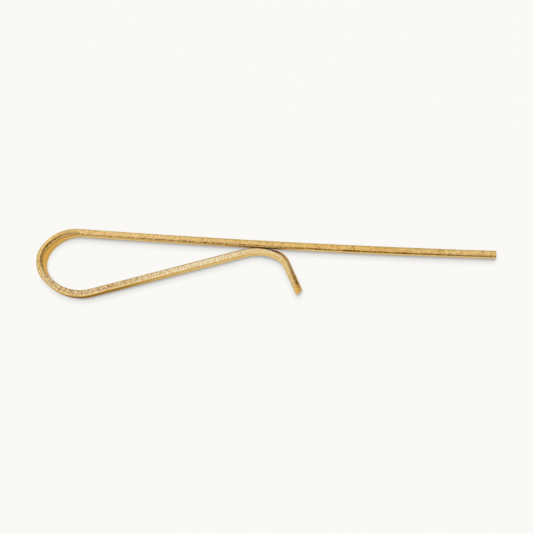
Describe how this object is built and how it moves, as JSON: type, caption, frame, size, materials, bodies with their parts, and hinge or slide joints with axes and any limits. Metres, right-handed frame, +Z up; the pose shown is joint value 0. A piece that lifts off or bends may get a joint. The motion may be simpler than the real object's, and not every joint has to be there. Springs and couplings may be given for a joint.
{
  "type": "tie clip",
  "caption": "Tie clip bent from flat brass strip: a long front bar, a sprung teardrop bow, and a back arm whose crown pinches the cloth to the bar, with a turned-out tail.",
  "frame": {"origin": "middle of the clip's plan box, on the surface that its lower edge rests on", "axes": "+X runs along the bar from the bow to the bar's free end, +Y is the side that shows when the clip is worn, +Z is up across the strip's width"},
  "size_m": [0.0534, 0.008, 0.005],
  "materials": {
    "brass_strip": "satin gold brass, finely tooled along its edges"
  },
  "bodies": {
    "bar_side": {"front_bar": "brass_strip", "bow_front": "brass_strip"},
    "arm_side": {"bow_back": "brass_strip", "grip_arm": "brass_strip", "lift_tail": "brass_strip"}
  },
  "joints": [
    {"name": "bow_flex", "type": "hinge", "parent": "bar_side", "child": "arm_side", "pos_m": [-0.02674, -0.00012, 0.0025], "axis": [0, 0, -1], "range_deg": [0, 6.5], "stiffness_Nm_per_rad": 1.17, "springref_deg": -1.15}
  ]
}
